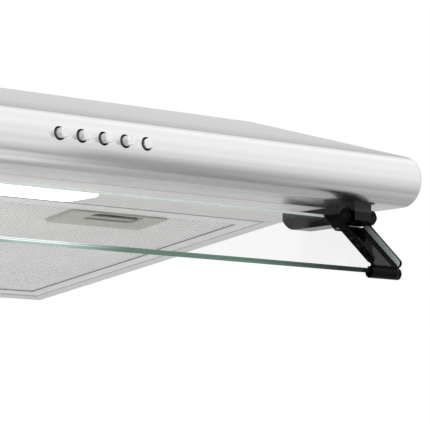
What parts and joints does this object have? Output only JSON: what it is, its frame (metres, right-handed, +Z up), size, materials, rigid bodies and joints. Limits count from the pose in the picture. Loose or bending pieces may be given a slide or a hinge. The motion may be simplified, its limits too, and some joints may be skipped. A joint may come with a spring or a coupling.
{
  "type": "range hood",
  "caption": "Slim under-cabinet range hood with a rounded steel front, round push buttons, a tilting glass visor, drop-down grease filters, a centrifugal fan and a top duct collar.",
  "frame": {"origin": "middle of the wall face, at the height of the flat underside around the lamp", "axes": "+X right as seen from the front, +Y back to the wall, +Z up"},
  "size_m": [0.6, 0.5069, 0.1691],
  "materials": {
    "front_steel": "brushed",
    "grey_paint": "satin",
    "zinc": "satin",
    "lens_white": "frosted",
    "lamp_glass": "frosted",
    "white_plastic": "matte",
    "black_plastic": "gloss",
    "dark_plastic": "matte",
    "button_metal": "brushed",
    "visor_glass": "clear",
    "mesh_aluminium": "satin",
    "latch_grey": "satin",
    "bush_rubber": "matte",
    "screw_steel": "satin",
    "motor_metal": "satin"
  },
  "bodies": {
    "hood": {"front_panel": "front_steel", "side_panel_right": "grey_paint", "side_panel_left": "grey_paint", "canopy": "grey_paint", "lamp_panel": "grey_paint", "lamp_lens": "lens_white", "reflector": "zinc", "lamp_holder_right": "white_plastic", "lamp_holder_left": "white_plastic", "lamp_right": "lamp_glass", "lamp_left": "lamp_glass", "switch_block": "dark_plastic", "hinge_cap_right": "black_plastic", "hinge_cap_left": "black_plastic", "hinge_block_right": "black_plastic", "hinge_block_left": "black_plastic", "hinge_pin_right": "screw_steel", "hinge_pin_left": "screw_steel", "hinge_screws": "screw_steel", "blower_casing": "dark_plastic", "blower_base": "dark_plastic", "motor": "motor_metal", "motor_bushes": "bush_rubber", "motor_screws": "screw_steel", "blower_posts": "zinc", "post_screws": "screw_steel", "outlet_collar": "dark_plastic", "rim_screws": "screw_steel", "flap_pin": "screw_steel", "capacitor": "white_plastic", "terminal_box": "white_plastic", "terminal_lid": "white_plastic", "cable_gland": "dark_plastic"},
    "visor": {"visor_glass": "visor_glass", "visor_arm_right": "black_plastic", "visor_arm_left": "black_plastic"},
    "filter_right": {"filter_frame_right": "mesh_aluminium", "filter_mesh_right": "mesh_aluminium", "latch_plate_right": "latch_grey"},
    "filter_left": {"filter_frame_left": "mesh_aluminium", "filter_mesh_left": "mesh_aluminium", "latch_plate_left": "latch_grey"},
    "latch_right": {"latch_slider_right": "latch_grey"},
    "latch_left": {"latch_slider_left": "latch_grey"},
    "fan": {"impeller": "dark_plastic", "fan_shaft": "screw_steel"},
    "flap_front": {"flap_front": "dark_plastic"},
    "flap_rear": {"flap_rear": "dark_plastic"},
    "button_1": {"button_1": "button_metal"},
    "button_2": {"button_2": "button_metal"},
    "button_3": {"button_3": "button_metal"},
    "button_4": {"button_4": "button_metal"},
    "button_5": {"button_5": "button_metal"}
  },
  "joints": [
    {"name": "visor_tilt", "type": "hinge", "parent": "hood", "child": "visor", "pos_m": [0, -0.465, -0.0082], "axis": [1, 0, 0], "range_deg": [-42, 0]},
    {"name": "button_1_press", "type": "slide", "parent": "hood", "child": "button_1", "axis": [0, 1, 0], "range_m": [0, 0.0045], "stiffness_N_per_m": 300, "springref_m": -0.0045},
    {"name": "button_2_press", "type": "slide", "parent": "hood", "child": "button_2", "axis": [0, 1, 0], "range_m": [0, 0.0045], "stiffness_N_per_m": 300, "springref_m": -0.0045},
    {"name": "button_3_press", "type": "slide", "parent": "hood", "child": "button_3", "axis": [0, 1, 0], "range_m": [0, 0.0045], "stiffness_N_per_m": 300, "springref_m": -0.0045},
    {"name": "button_4_press", "type": "slide", "parent": "hood", "child": "button_4", "axis": [0, 1, 0], "range_m": [0, 0.0045], "stiffness_N_per_m": 300, "springref_m": -0.0045},
    {"name": "button_5_press", "type": "slide", "parent": "hood", "child": "button_5", "axis": [0, 1, 0], "range_m": [-0.0045, 0]},
    {"name": "filter_right_tilt", "type": "hinge", "parent": "hood", "child": "filter_right", "pos_m": [0.143, -0.01407, -0.03647], "axis": [1, 0, 0], "range_deg": [0, 70]},
    {"name": "latch_right_slide", "type": "slide", "parent": "filter_right", "child": "latch_right", "axis": [0, 0.993, -0.1179], "range_m": [0, 0.006], "stiffness_N_per_m": 250, "springref_m": -0.005},
    {"name": "filter_left_tilt", "type": "hinge", "parent": "hood", "child": "filter_left", "pos_m": [-0.143, -0.01407, -0.03647], "axis": [1, 0, 0], "range_deg": [0, 70]},
    {"name": "latch_left_slide", "type": "slide", "parent": "filter_left", "child": "latch_left", "axis": [0, 0.993, -0.1179], "range_m": [0, 0.006], "stiffness_N_per_m": 250, "springref_m": -0.005},
    {"name": "fan_spin", "type": "hinge", "parent": "hood", "child": "fan", "pos_m": [-0.054, -0.217, 0.045], "axis": [0, 0, 1], "continuous": true},
    {"name": "flap_front_swing", "type": "hinge", "parent": "hood", "child": "flap_front", "pos_m": [0, -0.068, 0.104], "axis": [-1, 0, 0], "range_deg": [0, 80]},
    {"name": "flap_rear_swing", "type": "hinge", "parent": "hood", "child": "flap_rear", "pos_m": [0, -0.068, 0.104], "axis": [1, 0, 0], "range_deg": [0, 80]}
  ]
}
